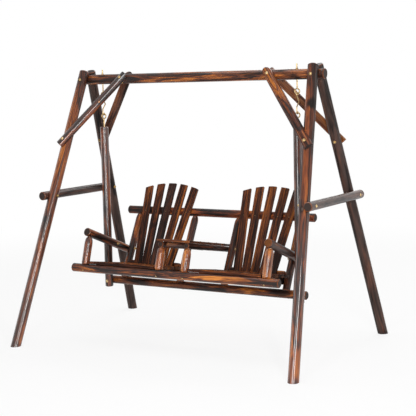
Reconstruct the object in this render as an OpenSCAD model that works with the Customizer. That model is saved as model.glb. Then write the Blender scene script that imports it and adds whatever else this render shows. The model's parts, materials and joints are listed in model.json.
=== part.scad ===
// Porch swing with stand: two fan-back chairs joined by a small table,
// hung from an A-frame of scorched logs. Lengths are in millimetres.
// X runs along the beam, -Y is the front, Z is up, and the floor is Z = 0.

/* [Overall size] */
// Width over the feet of the stand
overall_w = 1981.2; // [1900:0.1:2100]
// Depth over the feet of the stand
overall_d = 1352.6; // [1250:0.1:1450]
// Height to the tops of the legs
overall_h = 1701.8; // [1680:0.1:1760]

/* [Stand] */
// Diameter of the four legs
leg_d = 64; // [56:0.5:72]
// Distance of each leg axis from the middle, along the beam, at beam height
leg_top_x = 815; // [790:1:840]
// Distance of each leg axis from the beam axis, front to back, at beam height
leg_top_y = 50; // [46:0.5:54]
// Gap between the two leg tops of one side where they are mitred
mitre_gap = 1; // [0.5:0.1:3]
// Diameter of the beam
beam_d = 64; // [58:0.5:70]
// Distance of the beam axis below the tops of the legs
beam_drop = 63.8; // [58:0.1:80]
// Length of the beam past each pair of legs
beam_past = 58; // [45:1:80]
// Diameter of the side bars
side_bar_d = 55; // [48:0.5:60]
// Height of the side bars
side_bar_z = 912; // [850:1:980]
// Length of the side bars past each leg
side_bar_past = 58; // [45:1:90]
// Depth of the saddle notch in each side bar
side_bar_notch = 12; // [8:0.5:16]

/* [Braces] */
// Width of the flat face of the split-log braces
brace_w = 58; // [50:0.5:64]
// Place of the upper brace bolts along the beam
brace_beam_x = 525; // [500:1:560]
// Distance of the upper brace bolts below the middle line of the beam
brace_drop = 10; // [0:0.5:12]
// Height of the lower brace bolts
brace_leg_z = 1250; // [1200:1:1300]
// Length of each brace past its bolts
brace_past = 42; // [36:1:60]
// Depth that a brace is let onto the round logs
brace_sink = 3; // [2:0.5:5]

/* [Hooks and eyes] */
// Distance of the hooks from the middle, along the beam
hang_x = 692; // [680:1:705]
// Distance from the beam axis down to the middle of a beam eye
beam_eye_drop = 98; // [92:0.5:104]
// Distance from the middle of a beam eye down to the middle of the post eye under it
hook_span = 138; // [130:1:148]
// Mean radius of an eye ring
eye_r = 15; // [14:0.25:17]
// Diameter of the eye wire
eye_wire_d = 8; // [7:0.25:9]
// Diameter of the hook wire
hook_wire_d = 7; // [6:0.25:8]
// Radial clearance between hook and eye
hook_gap = 0.3; // [0.25:0.05:0.6]
// Reach of the bend in the hook, towards the back
hook_bend_back = 20; // [14:0.5:26]
// Swelling of the hook wire at its bends
hook_swell = 0.3; // [0.2:0.05:0.6]
// Length of an eye bolt above the beam
eye_top = 30; // [26:1:45]
// Depth of a post eye in its post
eye_depth = 60; // [40:1:80]

/* [Bench frame] */
// Diameter of the hanging posts
hang_d = 54; // [48:0.5:58]
// Height of the feet of the hanging posts
hang_low_z = 289; // [270:1:296]
// Distance from a post eye down to the top of its post
post_drop = 67; // [60:1:80]
// Diameter of the front, lower and back rails
rail_d = 54; // [50:0.5:58]
// Height of the underside of the front rail
rail_under_z = 438.15; // [425:0.05:450]
// Distance of the front rail in front of the hooks
rail_front_y = 330; // [315:1:345]
// Length of the front rail
front_rail_l = 1456; // [1420:1:1480]
// Height of the lower rail
lower_rail_z = 327; // [322:0.5:332]
// Length of the lower rail
lower_rail_l = 1426; // [1424:1:1470]
// Length of the back rail
back_rail_l = 1368; // [1340:1:1400]
// Height of the back rail axis above the seat level, along the back
back_rail_v = 357; // [340:1:375]

/* [Back] */
// Lean of the back from upright
back_tilt = 28; // [26.5:0.25:29]
// Seat depth from the front of the front rail to the back posts
seat_depth = 438.15; // [434:0.05:444]
// Height at which the seat depth is taken
seat_level = 455; // [448:1:462]
// Diameter of the back posts
post_d = 48; // [44:0.5:50]
// Place of the inner back posts
post_in_x = 160.7; // [158:0.1:168]
// Height of the foot of a back post above the middle of the lower rail, along the back
post_foot = 8; // [4:0.5:14]
// Height above the lower rail at which a foot bolt crosses the middle line of its back post
foot_bolt_aim = 30; // [26:1:40]
// Reach of a foot bolt past that middle line
foot_bolt_past = 12; // [6:1:16]
// Height of the back, from the foot of the lower rail to the middle slat top
back_h = 692.15; // [670:0.05:715]
// Width of a back slat
slat_w = 53; // [48:0.5:54]
// Thickness of a back slat
slat_th = 15; // [12:0.5:18]
// Middle of a chair
chair_x = 369; // [368:0.5:371]
// Spacing of the slats at their tops
slat_pitch_top = 89; // [86:0.5:94]
// Spacing of the slats at their feet
slat_pitch_low = 57; // [56:0.5:59]
// Distance of the slat feet below the seat level, along the back
slat_low = 75; // [66:1:90]
// Radius of the arch along the slat tops
crown_r = 590; // [450:5:800]

/* [Seat] */
// Slope of the seat, down towards the back
seat_slope = 9.5; // [8.5:0.25:10.5]
// Width of a seat
seat_w = 508; // [500:0.5:512]
// Middle of a seat
seat_x = 360; // [358:0.5:362]
// Thickness of the seat boards
seat_th = 18; // [14:0.5:22]
// Number of boards in a seat
seat_n = 5; // [4:1:6]
// Gap between two seat boards
seat_gap = 6; // [4:0.5:10]
// Overhang of the front board past the top of the front rail
seat_nose = 14; // [8:0.5:20]
// Diameter of the rear rail under each seat
rear_rail_d = 38; // [34:0.5:40]
// Width of the seat bearers
bearer_w = 33; // [28:0.5:34]
// Height of the seat bearers
bearer_h = 45; // [36:0.5:48]
// Gap between a seat bearer and the back post beside it
bearer_gap = 0.6; // [0.4:0.1:2]
// Length of the seat bearers past the middle of the rear rail
bearer_past = 12; // [6:1:16]
// Gap between the seat boards and the back slats
seat_back_gap = 2; // [1:0.5:5]
// Gap between the front board and the posts on each side of it
front_clear = 1.5; // [1:0.5:4]

/* [Arms] */
// Diameter of the arms
arm_d = 53; // [48:0.5:56]
// Slope of the arms, down towards the back
arm_slope = 21; // [20:0.25:22]
// Distance of the arm fronts in front of the hooks
arm_front_y = 296; // [290:1:310]
// Height of the arm fronts
arm_front_z = 690; // [680:1:700]
// Length of an arm past its back post
arm_past = 38; // [34:1:60]
// Diameter of the arm posts and table posts
front_post_d = 52; // [46:0.5:54]
// Lean of the arm posts and table posts towards the back
post_lean = 17.5; // [16.5:0.25:18.5]

/* [Table] */
// Height of the side rails over the table posts
side_rail_z = 638; // [628:1:648]
// Diameter of the side rails of the table
side_rail_d = 38; // [34:0.5:40]
// Length of a side rail in front of its table post
side_rail_past = 20; // [15:1:26]
// Diameter of the front rail between the side rails
table_rail_d = 34; // [30:0.5:36]
// Distance of the front rail behind the table posts
table_rail_back = 30; // [28:0.5:50]
// Depth of the planed flat along the top of each side rail
side_rail_flat = 2; // [1.5:0.25:3]
// Slope of the table, down towards the back
table_slope = 10.3; // [9.5:0.1:11]
// Depth of the table, along its slope
table_depth = 577.85; // [560:0.05:590]
// Length of the table boards
table_w = 236; // [234:1:246]
// Thickness of the table boards
table_th = 16; // [13:0.5:20]
// Number of table boards
table_n = 6; // [5:1:7]
// Gap between two table boards
table_gap = 7; // [4:0.5:10]
// Overhang of the first table board past the side rails
table_nose = 9; // [4:0.5:14]
// Place of the table posts
table_post_x = 92; // [86:0.5:93]

/* [Joints and bolts] */
// Chamfer on the cut ends of the logs
chamfer = 5; // [3:0.5:7]
// Diameter of the tenons
tenon_d = 24; // [20:0.5:26]
// Length of a tenon inside its socket
tenon_l = 18; // [14:0.5:19]
// Clearance around a tenon
tenon_gap = 0.25; // [0.2:0.05:0.5]
// Length of the rounded foot of a post
foot_l = 16; // [10:1:24]
// Length of the rounded shoulders of the seat and table rails
rail_neck_l = 10; // [6:1:16]
// Depth that the posts are scribed over the front rail
foot_sink = 8; // [6:0.5:10]
// Length of the tapered neck of a post
neck_l = 42; // [30:1:50]
// Clearance under the shoulders of the tenons
shoulder_gap = 0.3; // [0.2:0.05:0.6]
// Clearance of the saddles and other wood seats
seat_fit = 0.2; // [0.15:0.05:0.4]
// Diameter of the bolts
bolt_d = 8; // [7:0.5:9]
// Clearance around a bolt
bolt_gap = 0.3; // [0.2:0.05:0.5]
// Diameter of the bolt heads
bolt_head_d = 17; // [15:0.5:19]
// Height of the domed bolt heads
bolt_head_h = 5; // [4:0.5:6]
// Diameter of the washers
washer_d = 20; // [18:0.5:22]
// Thickness of the washers
washer_h = 1.6; // [1.2:0.1:2]
// Width of a nut across its corners
nut_d = 15; // [13.5:0.5:16.5]
// Height of a nut
nut_h = 6.5; // [5:0.5:8]
// Length of a bolt past its nut
bolt_past = 4; // [2:0.5:8]
// Depth of the flats cut for the washers
spot_depth = 2.5; // [2:0.25:4]

/* [Hidden] */
$fn = 48;

// Colours of the scorched wood and the plated fittings
wood = [0.42, 0.20, 0.10];
wood_dark = [0.24, 0.13, 0.09];
wood_bright = [0.60, 0.29, 0.12];
brass = [0.80, 0.66, 0.36];

// Radii
leg_r = leg_d / 2;
beam_r = beam_d / 2;
side_bar_r = side_bar_d / 2;
brace_r = brace_w / 2;
eye_wire_r = eye_wire_d / 2;
hook_wire_r = hook_wire_d / 2;
hang_r = hang_d / 2;
rail_r = rail_d / 2;
post_r = post_d / 2;
arm_r = arm_d / 2;
front_post_r = front_post_d / 2;
rear_rail_r = rear_rail_d / 2;
table_rail_r = table_rail_d / 2;
side_rail_r = side_rail_d / 2;

// A point on the line p + t u where it crosses the line q + s w, all in the YZ plane
function crossing(p, u, q, w) =
  p + u * ((q[0] - p[0]) * w[1] - (q[1] - p[1]) * w[0]) / (u[0] * w[1] - u[1] * w[0]);
function yz(x, p) = [x, p[0], p[1]];

// Heights that follow the tops of the legs
beam_z = overall_h - beam_drop;
beam_eye_z = beam_z - beam_eye_drop;
post_eye_z = beam_eye_z - hook_span;

// Legs: the axis runs from the foot on the floor through a point at beam height
function foot_x(n) = n == 0 ? overall_w / 2 - leg_r
  : overall_w / 2 - leg_r * sqrt(1 + pow((foot_x(n - 1) - leg_top_x) / beam_z, 2));
function foot_y(n) = n == 0 ? overall_d / 2 - leg_r
  : overall_d / 2 - leg_r * sqrt(1 + pow((foot_y(n - 1) - leg_top_y) / beam_z, 2));
leg_foot = [foot_x(4), -foot_y(4), 0];
leg_beam = [leg_top_x, -leg_top_y, beam_z];
leg_dir = (leg_beam - leg_foot) / norm(leg_beam - leg_foot);
function leg_at(z) = leg_foot + leg_dir * (z / leg_dir.z);
leg_top_z = overall_h - (leg_r - chamfer) * sqrt(1 - leg_dir.z * leg_dir.z);
leg_splay = atan2(leg_beam.y - leg_foot.y, beam_z);

// Side bars lie on the outer faces of the legs
bar_leg = leg_at(side_bar_z);
side_bar_x = bar_leg.x + leg_r + side_bar_r - side_bar_notch;

// Braces lie in a plane that leans with the legs, measured from the leg axis
beam_up = leg_top_y * sin(leg_splay) - brace_drop;
beam_out = beam_r - leg_top_y * cos(leg_splay);
brace_leg = leg_at(brace_leg_z);
brace_low = (brace_leg_z - beam_z) / cos(leg_splay);
brace_dx = brace_leg.x - brace_beam_x;
brace_dz = brace_low - beam_up;
brace_flat = norm([brace_dx, brace_dz]);
brace_turn = atan2(-brace_dz, brace_dx);
brace_tip = atan2(leg_r - beam_out, brace_flat);
brace_l = norm([brace_flat, leg_r - beam_out]);

// Pivots of the hooks
pivot_high = beam_eye_z - eye_r;
pivot_low = post_eye_z + eye_r;
hook_r = eye_wire_r + hook_gap + hook_wire_r;
hang_top_z = post_eye_z - post_drop;

// Bench frame in the YZ plane
front_rail_at = [-rail_front_y, rail_under_z + rail_r];
lower_rail_at = [hang_r + rail_r + seat_fit, lower_rail_z];
back_at = [front_rail_at[0] - rail_r + seat_depth, seat_level];
back_up = [sin(back_tilt), cos(back_tilt)];
back_out = [cos(back_tilt), -sin(back_tilt)];
function back_pt(v, n) = back_at + back_up * v + back_out * n;
back_rail_at = back_pt(back_rail_v, 0);
lower_v = (lower_rail_at - back_at) * back_up;
post_low_v = lower_v + post_foot;
slat_top_v = lower_v - rail_r + back_h;
slat_back_n = -rail_r - seat_fit;
slat_front_n = slat_back_n - slat_th;
fan_v = -slat_low - slat_pitch_low * (slat_top_v + slat_low) / (slat_pitch_top - slat_pitch_low);
fan_turn = atan((slat_pitch_top - slat_pitch_low) / (slat_top_v + slat_low));

// Arms and the posts under them
arm_x = hang_x - hang_r - arm_r - seat_fit;
arm_front = [-arm_front_y, arm_front_z];
arm_dir = [cos(arm_slope), -sin(arm_slope)];
post_out_x = arm_x - arm_r - post_r - seat_fit;
arm_back = crossing(arm_front, arm_dir, back_at, back_up);
arm_end = arm_back + arm_dir * arm_past;
arm_hang = crossing(arm_front, arm_dir, [0, 0], [0, 1]);
lean_dir = [sin(post_lean), cos(post_lean)];
arm_meet = crossing(front_rail_at, lean_dir, arm_front, arm_dir);

// Seat
seat_dir = [cos(seat_slope), -sin(seat_slope)];
seat_up = [sin(seat_slope), cos(seat_slope)];
seat_under = rail_r + seat_fit;
rear_rail_at = crossing(front_rail_at + seat_up * (seat_under + rear_rail_r), seat_dir,
  back_pt(0, slat_back_n + rear_rail_r + seat_fit), back_up);
seat_back = crossing(front_rail_at + seat_up * seat_under, seat_dir,
  back_pt(0, slat_front_n), back_up);
seat_end = (seat_back - front_rail_at) * seat_dir - seat_back_gap;
seat_board = (seat_end + seat_nose - (seat_n - 1) * seat_gap) / seat_n;
bearer_in_x = post_in_x + post_r + bearer_w / 2 + bearer_gap;
bearer_out_x = post_out_x - post_r - bearer_w / 2 - bearer_gap;
bearer_end = (rear_rail_at - front_rail_at) * seat_dir + bearer_past;

// Table: its side rails run back from the table posts and out to the inner back posts
table_dir = [cos(table_slope), -sin(table_slope)];
side_rail_at = crossing(front_rail_at, lean_dir, [0, side_rail_z], [1, 0]);
side_rail_top = side_rail_r - side_rail_flat;
table_start = -side_rail_past - table_nose;
table_board = (table_depth - (table_n - 1) * table_gap) / table_n;
side_rail_end = table_start + table_depth - table_nose;
table_post_meet = crossing(side_rail_at, table_dir, back_at, back_up);
side_rail_meet = (table_post_meet - side_rail_at) * table_dir;
side_rail_room = post_r + side_rail_r + seat_fit;
side_rail_toe = atan2(post_in_x - side_rail_room - table_post_x, side_rail_meet);
side_rail_x = post_in_x - side_rail_room * norm([1, tan(side_rail_toe) / cos(back_tilt - table_slope)]);
function side_rail_pt(t) =
  yz(table_post_x + (side_rail_x - table_post_x) * t / side_rail_meet, side_rail_at + table_dir * t);

// Local z axis from point a towards point b
module along(a, b) {
  v = b - a;
  translate(a)
    rotate([0, acos(v.z / norm(v)), atan2(v.y, v.x)])
      children();
}

// Plain log with chamfered ends, turned about its own axis
module log_between(a, b, d, c = chamfer, turn = 0) {
  l = norm(b - a);
  along(a, b)
    rotate([0, 0, turn])
      rotate_extrude()
        polygon([[0, 0], [d / 2 - c, 0], [d / 2, c], [d / 2, l - c], [d / 2 - c, l], [0, l]]);
}

// Endless log used as a cutter for a saddle
module saddle(a, b, d) {
  over = (b - a) / norm(b - a) * 40;
  along(a - over, b + over)
    cylinder(d = d + 2 * seat_fit, h = norm(b - a) + 80);
}

// Rounded shoulder from the tenon radius out to the log radius, from z0 over a length l
function shoulder(r, z0, l, s) =
  [for (t = [0:18:90]) [tenon_d / 2 + (r - tenon_d / 2) * sin(t), z0 + s * l * (1 - cos(t))]];
function back_to_front(p) = [for (i = [len(p) - 1:-1:0]) p[i]];

// Log with a tenon at each end whose shoulders start at a and b
module tenoned_log(a, b, d, low, high) {
  l = norm(b - a);
  along(a, b)
    rotate_extrude()
      polygon(concat(
        [[0, -tenon_l], [tenon_d / 2, -tenon_l]],
        shoulder(d / 2, 0, low, 1),
        back_to_front(shoulder(d / 2, l, high, -1)),
        [[tenon_d / 2, l + tenon_l], [0, l + tenon_l]]));
}

// Log with a tenon at its far end only
module half_tenoned_log(a, b, d, high) {
  l = norm(b - a);
  along(a, b)
    rotate_extrude()
      polygon(concat(
        [[0, 0], [d / 2 - chamfer, 0], [d / 2, chamfer]],
        back_to_front(shoulder(d / 2, l, high, -1)),
        [[tenon_d / 2, l + tenon_l], [0, l + tenon_l]]));
}

// Socket for a tenon whose shoulder lies at a and which points towards b
module socket(a, b) {
  u = (b - a) / norm(b - a);
  along(a - u * 12, b)
    cylinder(d = tenon_d + 2 * tenon_gap, h = 12 + tenon_l + 1);
}

// Domed head and washer on z = 0, and a shank along +z that ends in a tip of the given length
module headed_shank(end, tip) {
  rotate_extrude()
    polygon(concat(
      [for (t = [0:15:90]) [bolt_head_d / 2 * sin(t), -washer_h - bolt_head_h * cos(t)]],
      [[bolt_d / 2, -washer_h], [bolt_d / 2, end - tip], [max(bolt_d / 2 - tip, 1), end], [0, end]]));
  difference() {
    translate([0, 0, -washer_h])
      cylinder(d = washer_d, h = washer_h);
    translate([0, 0, -washer_h - 1])
      cylinder(d = bolt_d + 2 * bolt_gap, h = washer_h + 2);
  }
}

// Bolt whose nut's washer lies on z = l
module bolt(l) {
  headed_shank(l + washer_h + nut_h + bolt_past, 1);
  difference() {
    union() {
      translate([0, 0, l])
        cylinder(d = washer_d, h = washer_h);
      translate([0, 0, l + washer_h])
        cylinder(d = nut_d, h = nut_h, $fn = 6);
    }
    translate([0, 0, l - 1])
      cylinder(d = bolt_d + 2 * bolt_gap, h = washer_h + nut_h + 2);
  }
}

// Bore of such a bolt with the two flats for its washers
module bolt_cut(l) {
  translate([0, 0, -20])
    cylinder(d = bolt_d + 2 * bolt_gap, h = l + 40);
  translate([0, 0, -20])
    cylinder(d = washer_d + 1, h = 20);
  translate([0, 0, l])
    cylinder(d = washer_d + 1, h = 20);
}

// Blind bore of a pointed bolt of length l, with the flat for its washer
module foot_bolt_cut(l) {
  translate([0, 0, -20])
    cylinder(d = bolt_d + 2 * bolt_gap, h = l + 20 + bolt_gap);
  translate([0, 0, -20])
    cylinder(d = washer_d + 1, h = 20);
}

// Places of the bolts: the front right one of each kind, mirrored for the others
module four_ways() {
  for (sx = [0, 1], sy = [0, 1])
    mirror([sx, 0, 0])
      mirror([0, sy, 0])
        children();
}
module two_ways() {
  for (sx = [0, 1])
    mirror([sx, 0, 0])
      children();
}

apex_face = leg_top_y + leg_r / cos(leg_splay) - spot_depth - washer_d / 2 * tan(leg_splay);
apex_l = 2 * apex_face;
module at_apex() {
  translate([leg_top_x, -apex_face, beam_z])
    rotate([-90, 0, 0])
      children();
}
side_bar_bolt_l = side_bar_r + leg_r * 2 - side_bar_notch + side_bar_r - 2 * spot_depth;
module at_side_bar() {
  translate([side_bar_x + side_bar_r - spot_depth, bar_leg.y, side_bar_z])
    rotate([0, -90, 0])
      children();
}

// Frame of a brace: x runs along it between its bolts, y points into the log behind it
module at_brace() {
  translate(leg_beam)
    rotate([-leg_splay, 0, 0])
      translate([brace_beam_x - leg_top_x, -beam_out + brace_sink, beam_up])
        rotate([0, brace_turn, 0])
          rotate([0, 0, -brace_tip])
            children();
}
function brace_bolt_l(r, off) = brace_r - brace_sink + r + sqrt(r * r - off * off) - 2 * spot_depth;
brace_beam_bolt_l = brace_bolt_l(beam_r, brace_drop);
brace_leg_bolt_l = brace_bolt_l(leg_r, 0);
module at_brace_bolt(x) {
  at_brace()
    translate([x, -brace_r + spot_depth, 0])
      rotate([-90, 0, 0])
        children();
}

// Stand
leg_turn = 20;
module front_right_leg() {
  difference() {
    log_between(leg_foot - leg_dir * 40, leg_at(leg_top_z), leg_d, turn = leg_turn);
    translate([0, -overall_d, -100])
      cube([overall_w, 2 * overall_d, 100]);
    translate([0, -mitre_gap / 2, 0])
      cube([overall_w, overall_d, 2 * overall_h]);
    at_apex()
      bolt_cut(apex_l);
    at_side_bar()
      bolt_cut(side_bar_bolt_l);
    at_brace_bolt(brace_l)
      bolt_cut(brace_leg_bolt_l);
  }
}
module leg_cutters() {
  four_ways()
    saddle(leg_foot, leg_at(leg_top_z), leg_d);
}
beam_end = leg_top_x + beam_past;
module beam() {
  color(wood)
    difference() {
      log_between([-beam_end, 0, beam_z], [beam_end, 0, beam_z], beam_d);
      leg_cutters();
      two_ways()
        at_apex()
          bolt_cut(apex_l);
      four_ways()
        at_brace_bolt(0)
          bolt_cut(brace_beam_bolt_l);
      two_ways()
        translate([hang_x, 0, beam_z - beam_r - 1])
          cylinder(d = eye_wire_d + 2 * bolt_gap, h = beam_d + 2);
      two_ways()
        translate([hang_x, 0, beam_z + beam_r - spot_depth])
          cylinder(d = washer_d + 1, h = 20);
    }
}
module leg_front_left() {
  color(wood) mirror([1, 0, 0]) front_right_leg();
}
module leg_front_right() {
  color(wood) front_right_leg();
}
module leg_rear_left() {
  color(wood_dark) mirror([1, 0, 0]) mirror([0, 1, 0]) front_right_leg();
}
module leg_rear_right() {
  color(wood_dark) mirror([0, 1, 0]) front_right_leg();
}
module right_side_bar() {
  reach = -bar_leg.y + side_bar_past;
  difference() {
    log_between([side_bar_x, -reach, side_bar_z], [side_bar_x, reach, side_bar_z], side_bar_d);
    leg_cutters();
    for (sy = [0, 1])
      mirror([0, sy, 0])
        at_side_bar()
          bolt_cut(side_bar_bolt_l);
  }
}
module side_bar_left() {
  color(wood_dark) mirror([1, 0, 0]) right_side_bar();
}
module side_bar_right() {
  color(wood_dark) right_side_bar();
}

// Half log, flat side to the stand, round upper end and square lower end
module front_right_brace() {
  difference() {
    at_brace()
      intersection() {
        translate([-brace_past, 0, 0])
          rotate([0, 90, 0])
            cylinder(r = brace_r, h = brace_l + 2 * brace_past);
        rotate([90, 0, 0])
          linear_extrude(brace_w)
            union() {
              translate([brace_r - brace_past, 0])
                circle(r = brace_r);
              translate([brace_r - brace_past, -brace_r])
                square([brace_l + 2 * brace_past - brace_r, brace_w]);
            }
      }
    saddle([-beam_end, 0, beam_z], [beam_end, 0, beam_z], beam_d);
    saddle(leg_foot, leg_at(leg_top_z), leg_d);
    at_brace_bolt(0)
      bolt_cut(brace_beam_bolt_l);
    at_brace_bolt(brace_l)
      bolt_cut(brace_leg_bolt_l);
  }
}
module brace_front_left() {
  color(wood_bright) mirror([1, 0, 0]) front_right_brace();
}
module brace_front_right() {
  color(wood_bright) front_right_brace();
}
module brace_rear_left() {
  color(wood_dark) mirror([1, 0, 0]) mirror([0, 1, 0]) front_right_brace();
}
module brace_rear_right() {
  color(wood_dark) mirror([0, 1, 0]) front_right_brace();
}

// Ring in the XZ plane on a shank that runs up, or down when side is -1
module eye(z, shank_end, side) {
  translate([hang_x, 0, z]) {
    rotate([90, 0, 0])
      rotate_extrude()
        translate([eye_r, 0])
          circle(r = eye_wire_r);
    mirror([0, 0, side < 0 ? 1 : 0])
      translate([0, 0, eye_r - eye_wire_r / 2])
        cylinder(d = eye_wire_d, h = abs(shank_end - z) - eye_r + eye_wire_r / 2);
  }
}
module beam_eye_left() {
  color(brass) mirror([1, 0, 0]) eye(beam_eye_z, beam_z + beam_r + eye_top, 1);
}
module beam_eye_right() {
  color(brass) eye(beam_eye_z, beam_z + beam_r + eye_top, 1);
}
module beam_eye_nuts() {
  color(brass)
    two_ways()
      translate([hang_x, 0, beam_z + beam_r - spot_depth])
        difference() {
          union() {
            cylinder(d = washer_d, h = washer_h);
            translate([0, 0, washer_h])
              cylinder(d = nut_d, h = nut_h, $fn = 6);
          }
          translate([0, 0, -1])
            cylinder(d = eye_wire_d + 2 * bolt_gap, h = washer_h + nut_h + 2);
        }
}
module apex_bolts() {
  color(brass) two_ways() at_apex() bolt(apex_l);
}
module side_bar_bolts() {
  color(brass) four_ways() at_side_bar() bolt(side_bar_bolt_l);
}
module brace_bolts() {
  color(brass)
    four_ways() {
      at_brace_bolt(0)
        bolt(brace_beam_bolt_l);
      at_brace_bolt(brace_l)
        bolt(brace_leg_bolt_l);
    }
}

// Hook of one bent wire in the YZ plane, hung on the beam eye and carrying the post eye
module hook_wire(a, b) {
  along([0, a[0], a[1]], [0, b[0], b[1]])
    cylinder(r = hook_wire_r, h = norm(b - a));
}
module hook_knee(a, swell) {
  translate([0, a[0], a[1]])
    sphere(r = hook_wire_r + swell);
}
module hook_arc(z, from, sweep) {
  translate([0, 0, z])
    rotate([90, 0, 90])
      rotate([0, 0, from])
        rotate_extrude(angle = sweep)
          translate([hook_r, 0])
            circle(r = hook_wire_r);
}
module hook() {
  drop = pivot_high - pivot_low;
  high = [-hook_r, pivot_high];
  neck = high - [0, eye_wire_d];
  bend = [hook_bend_back, pivot_high - drop * 0.42];
  turn = [-hook_r, pivot_low + drop * 0.3];
  low = [-hook_r, pivot_low];
  tail = 35;
  hook_arc(pivot_high, -tail, 180 + tail);
  hook_wire(high, neck);
  hook_wire(neck, bend);
  hook_wire(bend, turn);
  hook_wire(turn, low);
  hook_arc(pivot_low, 180, 180 + tail);
  for (p = [neck, bend, turn])
    hook_knee(p, hook_swell);
  for (e = [[pivot_high, -tail], [pivot_low, tail]])
    hook_knee([hook_r * cos(e[1]), e[0] + hook_r * sin(e[1])], -hook_swell);
}
module s_hook_left() {
  color(brass) translate([-hang_x, 0, 0]) hook();
}
module s_hook_right() {
  color(brass) translate([hang_x, 0, 0]) hook();
}

// Bolts of the bench, the right ones
hang_rail_bolt_l = 2 * hang_r + 2 * rail_r + seat_fit - 2 * spot_depth;
module at_hang_rail() {
  translate([hang_x, -hang_r + spot_depth, lower_rail_z])
    rotate([-90, 0, 0])
      children();
}
hang_arm_bolt_l = hang_d + arm_d + seat_fit - 2 * spot_depth;
module at_hang_arm() {
  translate([hang_x + hang_r - spot_depth, 0, arm_hang[1]])
    rotate([0, -90, 0])
      children();
}
arm_back_bolt_l = arm_d + post_d + seat_fit - 2 * spot_depth;
module at_arm_back() {
  translate([arm_x + arm_r - spot_depth, arm_back[0], arm_back[1]])
    rotate([0, -90, 0])
      children();
}
table_bolt_l = side_rail_r + post_r + post_in_x - side_rail_x - 2 * spot_depth;
module at_table_bolt() {
  translate([post_in_x + post_r - spot_depth, table_post_meet[0], table_post_meet[1]])
    rotate([0, -90, 0])
      children();
}
foot_bolt_way = back_pt(lower_v + foot_bolt_aim, 0) - lower_rail_at;
foot_bolt_dir = foot_bolt_way / norm(foot_bolt_way);
foot_bolt_l = rail_r - spot_depth + norm(foot_bolt_way) + foot_bolt_past;
module at_foot_bolt(x) {
  translate(yz(x, lower_rail_at - foot_bolt_dir * (rail_r - spot_depth)))
    rotate([atan2(-foot_bolt_dir[0], foot_bolt_dir[1]), 0, 0])
      children();
}
module bench_bolts() {
  color(brass)
    two_ways() {
      at_hang_rail() bolt(hang_rail_bolt_l);
      at_hang_arm() bolt(hang_arm_bolt_l);
      at_arm_back() bolt(arm_back_bolt_l);
      at_table_bolt() bolt(table_bolt_l);
      for (x = [post_in_x, post_out_x])
        at_foot_bolt(x) headed_shank(foot_bolt_l, bolt_d);
    }
}

// Bench
module right_hang_post() {
  difference() {
    log_between([hang_x, 0, hang_low_z], [hang_x, 0, hang_top_z], hang_d);
    at_hang_rail()
      bolt_cut(hang_rail_bolt_l);
    at_hang_arm()
      bolt_cut(hang_arm_bolt_l);
    translate([hang_x, 0, hang_top_z - eye_depth - 1])
      cylinder(d = eye_wire_d + 2 * bolt_gap, h = eye_depth + 2);
  }
}
module hang_post_left() {
  color(wood) mirror([1, 0, 0]) right_hang_post();
}
module hang_post_right() {
  color(wood) right_hang_post();
}
module post_eye_left() {
  color(brass) mirror([1, 0, 0]) eye(post_eye_z, hang_top_z - eye_depth, -1);
}
module post_eye_right() {
  color(brass) eye(post_eye_z, hang_top_z - eye_depth, -1);
}
module front_rail() {
  color(wood_bright)
    difference() {
      log_between(yz(-front_rail_l / 2, front_rail_at), yz(front_rail_l / 2, front_rail_at), rail_d);
      for (x = [-arm_x, -table_post_x, table_post_x, arm_x])
        socket(yz(x, front_rail_at + lean_dir * front_foot), yz(x, front_rail_at));
    }
}
module lower_rail() {
  color(wood)
    difference() {
      log_between(yz(-lower_rail_l / 2, lower_rail_at), yz(lower_rail_l / 2, lower_rail_at), rail_d);
      two_ways() {
        at_hang_rail() bolt_cut(hang_rail_bolt_l);
        for (x = [post_in_x, post_out_x])
          at_foot_bolt(x) foot_bolt_cut(foot_bolt_l);
      }
    }
}
module back_rail() {
  color(wood)
    difference() {
      log_between(yz(-back_rail_l / 2, back_rail_at), yz(back_rail_l / 2, back_rail_at), rail_d);
      for (x = [-post_out_x, -post_in_x, post_in_x, post_out_x])
        socket(yz(x, back_rail_at - back_up * rail_r), yz(x, back_rail_at));
    }
}

// Back post: its foot notched onto the lower rail, its neck tenoned into the back rail
module back_post(x) {
  difference() {
    half_tenoned_log(yz(x, back_pt(post_low_v, 0)), yz(x, back_rail_at - back_up * rail_r),
      post_d, neck_l);
    saddle(yz(-lower_rail_l / 2, lower_rail_at), yz(lower_rail_l / 2, lower_rail_at), rail_d);
    at_foot_bolt(x)
      foot_bolt_cut(foot_bolt_l);
    if (x > post_in_x) {
      at_arm_back()
        bolt_cut(arm_back_bolt_l);
      socket(yz(x - rear_rail_shoulder, rear_rail_at), yz(x, rear_rail_at));
    } else {
      at_table_bolt()
        bolt_cut(table_bolt_l);
      socket(yz(x + rear_rail_shoulder, rear_rail_at), yz(x, rear_rail_at));
    }
  }
}
module back_post_outer_left() {
  color(wood_bright) mirror([1, 0, 0]) back_post(post_out_x);
}
module back_post_inner_left() {
  color(wood) mirror([1, 0, 0]) back_post(post_in_x);
}
module back_post_inner_right() {
  color(wood) back_post(post_in_x);
}
module back_post_outer_right() {
  color(wood_bright) back_post(post_out_x);
}

// Rear rail of a seat, tenoned between its two back posts
rear_rail_shoulder = post_r + shoulder_gap;
module right_rear_rail() {
  tenoned_log(yz(post_in_x + rear_rail_shoulder, rear_rail_at),
    yz(post_out_x - rear_rail_shoulder, rear_rail_at), rear_rail_d, rail_neck_l, rail_neck_l);
}
module seat_rear_rail_left() {
  color(wood_dark) mirror([1, 0, 0]) right_rear_rail();
}
module seat_rear_rail_right() {
  color(wood_dark) right_rear_rail();
}

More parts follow.
